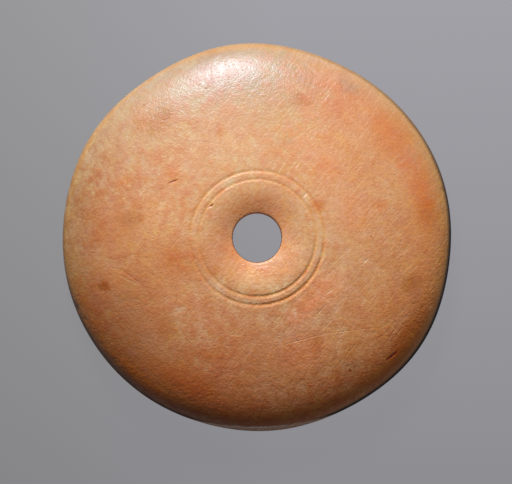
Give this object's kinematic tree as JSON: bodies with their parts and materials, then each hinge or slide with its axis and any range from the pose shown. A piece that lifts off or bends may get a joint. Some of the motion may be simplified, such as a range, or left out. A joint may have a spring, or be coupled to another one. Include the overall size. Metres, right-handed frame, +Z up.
{
  "type": "spindle whorl",
  "caption": "Domed, flat-based disc of polished bone with a central spindle hole, a worn dish round its mouth and scribed rings on the crown.",
  "frame": {"origin": "on the spindle hole's axis, in the plane of the flat base", "axes": "+Z up along the hole's axis, out of the domed face; +X to the right and +Y to the top of the picture, which looks straight down on the domed face"},
  "size_m": [0.0601, 0.06, 0.0109],
  "materials": {
    "polished_bone": "satin"
  },
  "bodies": {
    "root": {"whorl": "polished_bone"}
  },
  "joints": []
}
